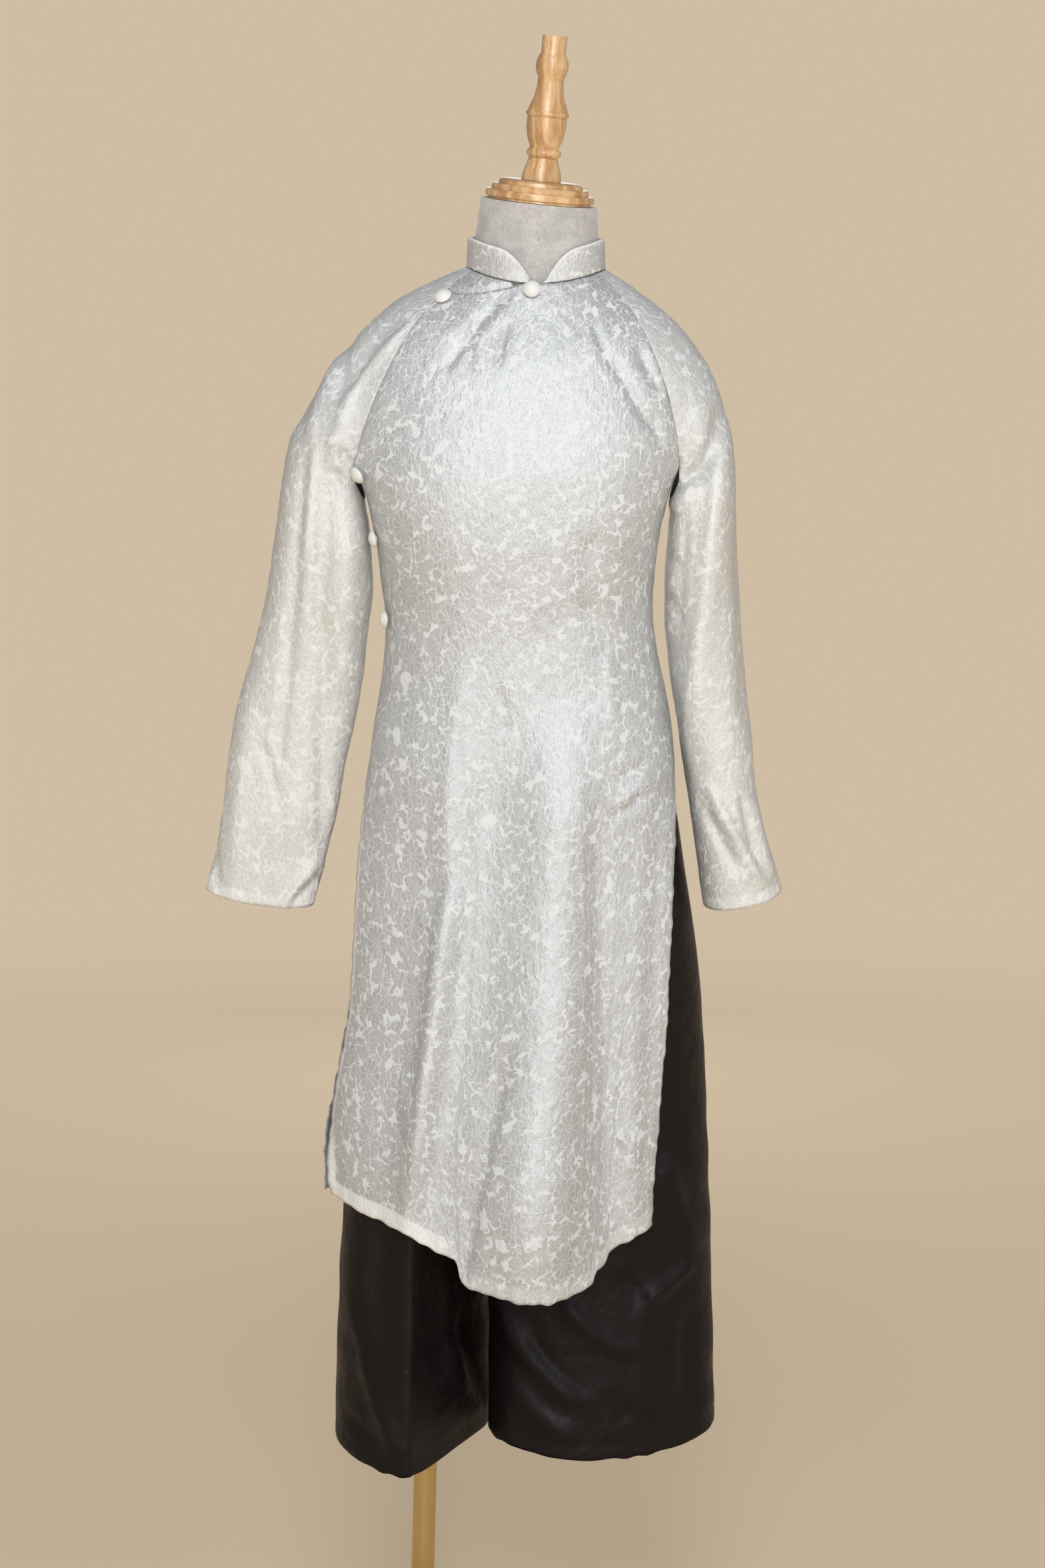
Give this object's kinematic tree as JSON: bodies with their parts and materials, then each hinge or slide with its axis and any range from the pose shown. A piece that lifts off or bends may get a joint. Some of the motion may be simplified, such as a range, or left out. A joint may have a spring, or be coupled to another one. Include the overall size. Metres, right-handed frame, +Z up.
{
  "type": "ao dai on a dress form",
  "caption": "Ivory silk jacquard ao dai tunic with raglan sleeves over wide black satin trousers, worn by a limbless dress form on a brass pole and round base.",
  "frame": {"origin": "middle of the base plate's underside, on the floor, where the pole's line meets it", "axes": "+Z up, the garment's front faces -Y, +X is the wearer's left"},
  "size_m": [0.6087, 0.4, 1.7585],
  "materials": {
    "ivory_silk": "silk jacquard, satin flowers on a matt ground",
    "covered_button": "plain ivory silk over a domed form",
    "black_satin": "glossy black satin",
    "form_cover": "short grey nap",
    "turned_wood": "light varnished wood",
    "brass": "polished brass tube",
    "base_enamel": "dark satin enamel"
  },
  "bodies": {
    "root": {"front_panel": "ivory_silk", "back_panel": "ivory_silk", "underlap": "ivory_silk", "sleeve_right": "ivory_silk", "sleeve_left": "ivory_silk", "collar": "ivory_silk", "button_neck": "covered_button", "button_shoulder": "covered_button", "button_underarm": "covered_button", "button_side_upper": "covered_button", "button_side_waist": "covered_button", "trouser_leg_right": "black_satin", "trouser_leg_left": "black_satin", "trouser_waistband": "black_satin", "form_torso": "form_cover", "neck_cap": "turned_wood", "finial": "turned_wood", "pole": "brass", "base_plate": "base_enamel"}
  },
  "joints": []
}
